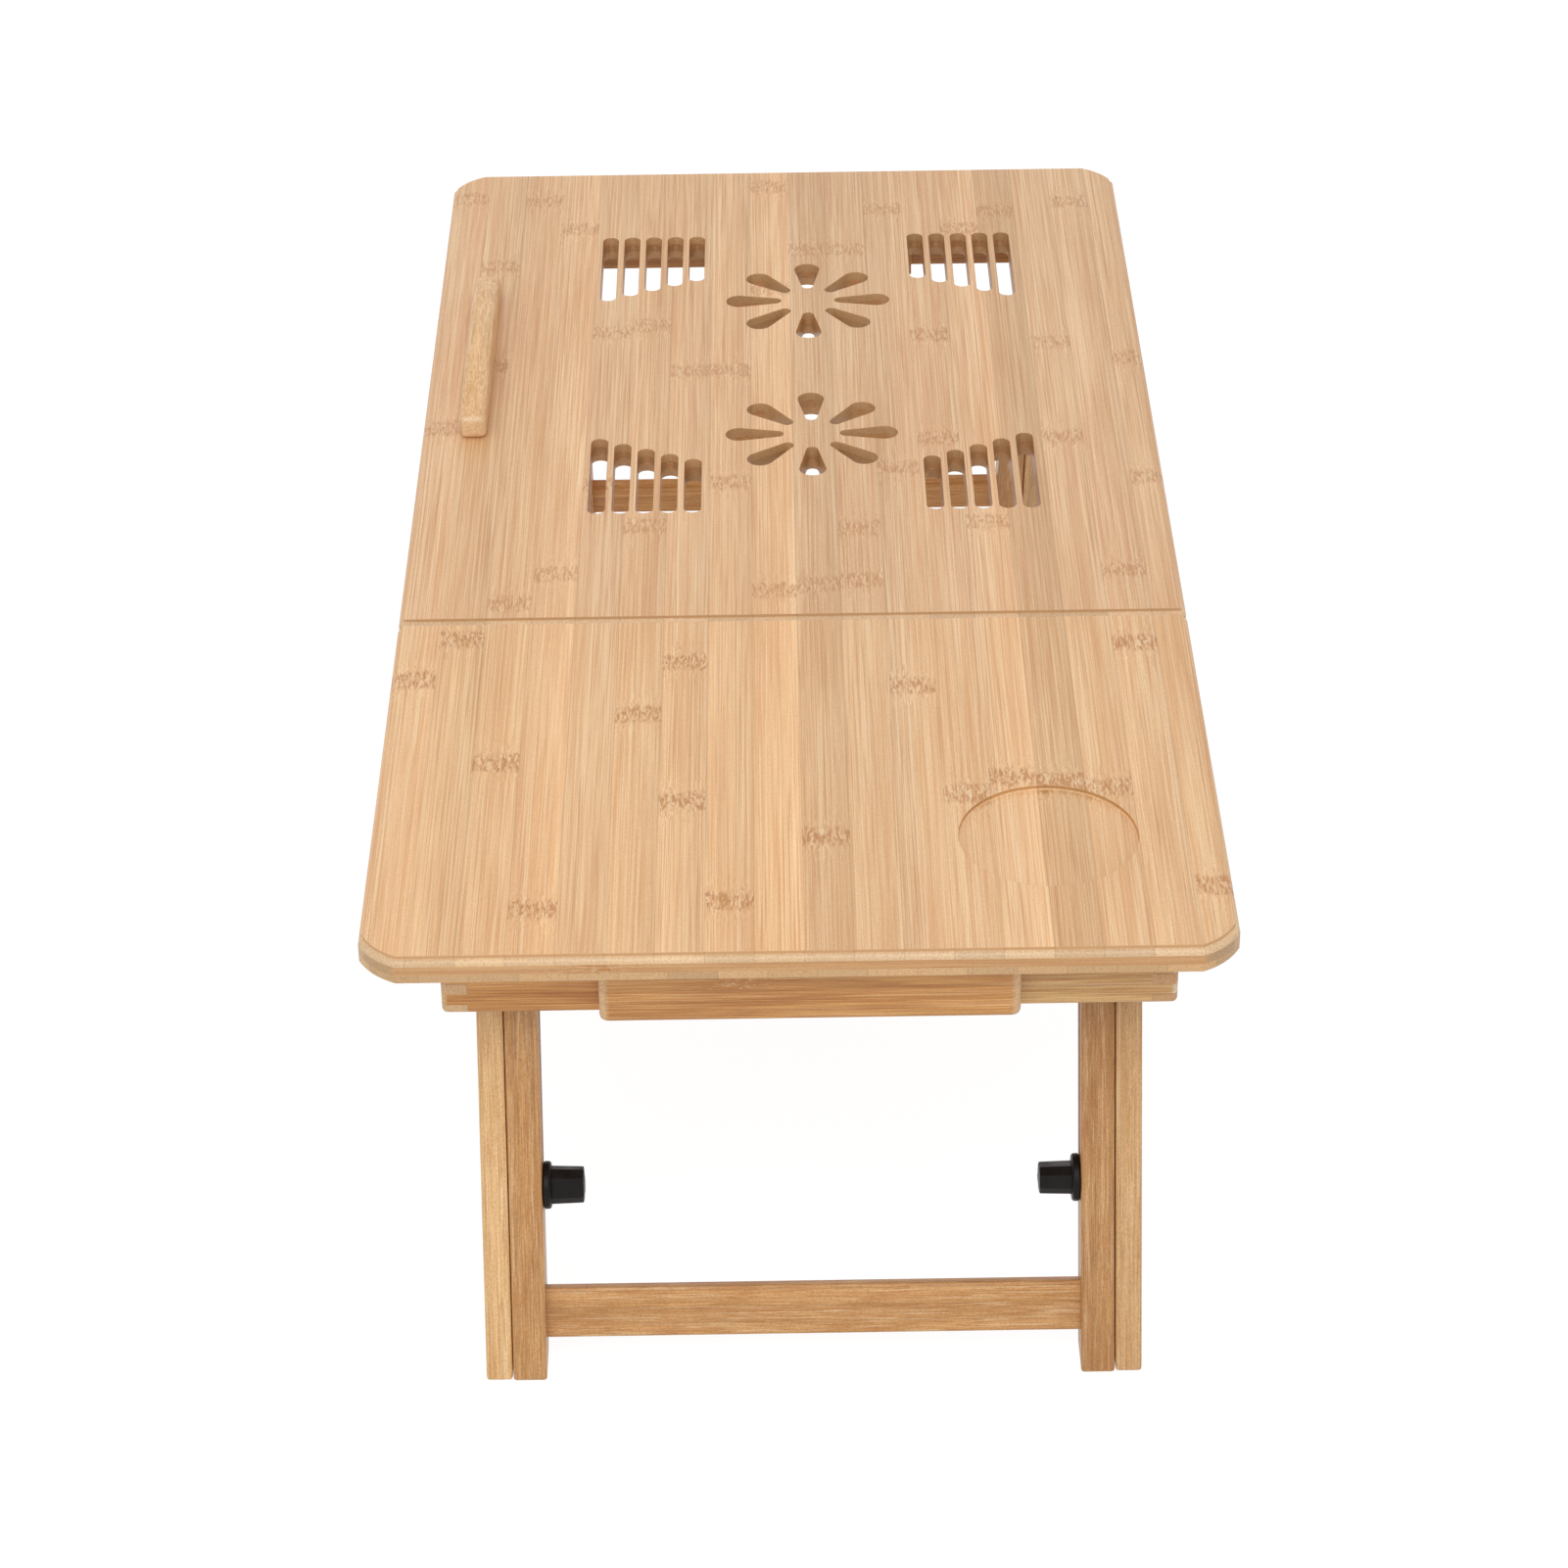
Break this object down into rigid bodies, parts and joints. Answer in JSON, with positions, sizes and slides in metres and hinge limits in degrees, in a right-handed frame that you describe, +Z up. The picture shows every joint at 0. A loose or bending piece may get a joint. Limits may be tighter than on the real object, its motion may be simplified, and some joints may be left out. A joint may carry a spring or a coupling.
{
  "type": "folding laptop table",
  "caption": "Folding bamboo laptop table with a tilting vented panel, stop bar, cup recess, side drawer and folding legs that extend and clamp.",
  "frame": {"origin": "on the floor under the middle of the table, with the legs open and not extended", "axes": "+X towards the drawer end, +Y away from the user, +Z up"},
  "size_m": [0.7348, 0.35, 0.23],
  "materials": {
    "top_bamboo": "satin lacquered edge-glued bamboo strips",
    "frame_bamboo": "satin lacquered bamboo",
    "leg_bamboo": "satin lacquered bamboo",
    "plated_steel": "plated",
    "black_plastic": "satin moulded"
  },
  "bodies": {
    "base": {"fixed_top": "top_bamboo", "side_rail_front": "frame_bamboo", "side_rail_back": "frame_bamboo", "apron_far": "frame_bamboo", "apron_near_front": "frame_bamboo", "apron_near_back": "frame_bamboo", "drawer_sill": "frame_bamboo", "middle_rail": "frame_bamboo", "drawer_runner_front": "frame_bamboo", "drawer_runner_back": "frame_bamboo", "leg_stop_near_front": "leg_bamboo", "leg_stop_near_back": "leg_bamboo", "leg_stop_far_front": "leg_bamboo", "leg_stop_far_back": "leg_bamboo", "hinge_fixed_leaf_far": "plated_steel", "hinge_pin_far": "plated_steel", "hinge_fixed_leaf_near": "plated_steel", "hinge_pin_near": "plated_steel", "tilt_rack_far": "frame_bamboo", "tilt_rack_near": "frame_bamboo", "pivot_rivet_near_front": "plated_steel", "pivot_rivet_near_back": "plated_steel", "pivot_rivet_far_front": "plated_steel", "pivot_rivet_far_back": "plated_steel"},
    "tilting_panel": {"tilt_panel": "top_bamboo", "stop_bar": "top_bamboo", "hinge_moving_leaf_far": "plated_steel", "hinge_moving_leaf_near": "plated_steel", "prop_saddle_far": "frame_bamboo", "prop_saddle_middle": "frame_bamboo", "prop_saddle_near": "frame_bamboo"},
    "prop": {"prop_axle": "plated_steel", "prop_arm_far": "frame_bamboo", "prop_arm_near": "frame_bamboo", "prop_foot_rod": "plated_steel"},
    "drawer": {"drawer_front": "frame_bamboo", "drawer_side_front": "frame_bamboo", "drawer_side_back": "frame_bamboo", "drawer_end": "frame_bamboo", "drawer_bottom": "frame_bamboo"},
    "near_leg_frame": {"upper_leg_near_front": "leg_bamboo", "upper_leg_near_back": "leg_bamboo", "clamp_bolt_near_front": "plated_steel", "clamp_bolt_near_back": "plated_steel"},
    "near_leg_extension": {"lower_leg_near_front": "leg_bamboo", "lower_leg_near_back": "leg_bamboo", "crossbar_near": "leg_bamboo"},
    "far_leg_frame": {"upper_leg_far_front": "leg_bamboo", "upper_leg_far_back": "leg_bamboo", "clamp_bolt_far_front": "plated_steel", "clamp_bolt_far_back": "plated_steel"},
    "far_leg_extension": {"lower_leg_far_front": "leg_bamboo", "lower_leg_far_back": "leg_bamboo", "crossbar_far": "leg_bamboo"},
    "near_front_knob": {"clamp_knob_near_front": "black_plastic"},
    "near_back_knob": {"clamp_knob_near_back": "black_plastic"},
    "far_front_knob": {"clamp_knob_far_front": "black_plastic"},
    "far_back_knob": {"clamp_knob_far_back": "black_plastic"}
  },
  "joints": [
    {"name": "panel_tilt", "type": "hinge", "parent": "base", "child": "tilting_panel", "pos_m": [0, -0.1468, 0.1982], "axis": [1, 0, 0], "range_deg": [0, 30]},
    {"name": "prop_swing", "type": "hinge", "parent": "tilting_panel", "child": "prop", "pos_m": [0, -0.036, 0.1958], "axis": [1, 0, 0], "range_deg": [-66, 0]},
    {"name": "drawer_slide", "type": "slide", "parent": "base", "child": "drawer", "axis": [1, 0, 0], "range_m": [0, 0.15]},
    {"name": "near_leg_fold", "type": "hinge", "parent": "base", "child": "near_leg_frame", "pos_m": [0.2815, 0.004, 0.187], "axis": [0, -1, 0], "range_deg": [-112, 0]},
    {"name": "far_leg_fold", "type": "hinge", "parent": "base", "child": "far_leg_frame", "pos_m": [-0.2815, 0.004, 0.187], "axis": [0, 1, 0], "range_deg": [-112, 0]},
    {"name": "near_leg_extend", "type": "slide", "parent": "near_leg_frame", "child": "near_leg_extension", "axis": [0.3746, 0, -0.9272], "range_m": [0, 0.08]},
    {"name": "far_leg_extend", "type": "slide", "parent": "far_leg_frame", "child": "far_leg_extension", "axis": [-0.3746, 0, -0.9272], "range_m": [0, 0.08]},
    {"name": "near_front_knob_turn", "type": "hinge", "parent": "near_leg_frame", "child": "near_front_knob", "pos_m": [0.32746, -0.1, 0.07325], "axis": [0, 1, 0], "range_deg": [0, 450]},
    {"name": "near_back_knob_turn", "type": "hinge", "parent": "near_leg_frame", "child": "near_back_knob", "pos_m": [0.32746, 0.108, 0.07325], "axis": [0, -1, 0], "range_deg": [0, 450]},
    {"name": "far_front_knob_turn", "type": "hinge", "parent": "far_leg_frame", "child": "far_front_knob", "pos_m": [-0.32746, -0.1, 0.07325], "axis": [0, 1, 0], "range_deg": [0, 450]},
    {"name": "far_back_knob_turn", "type": "hinge", "parent": "far_leg_frame", "child": "far_back_knob", "pos_m": [-0.32746, 0.108, 0.07325], "axis": [0, -1, 0], "range_deg": [0, 450]}
  ],
  "couplings": [
    {"joint": "prop_swing", "follows": "panel_tilt", "ratio": -2.175}
  ]
}
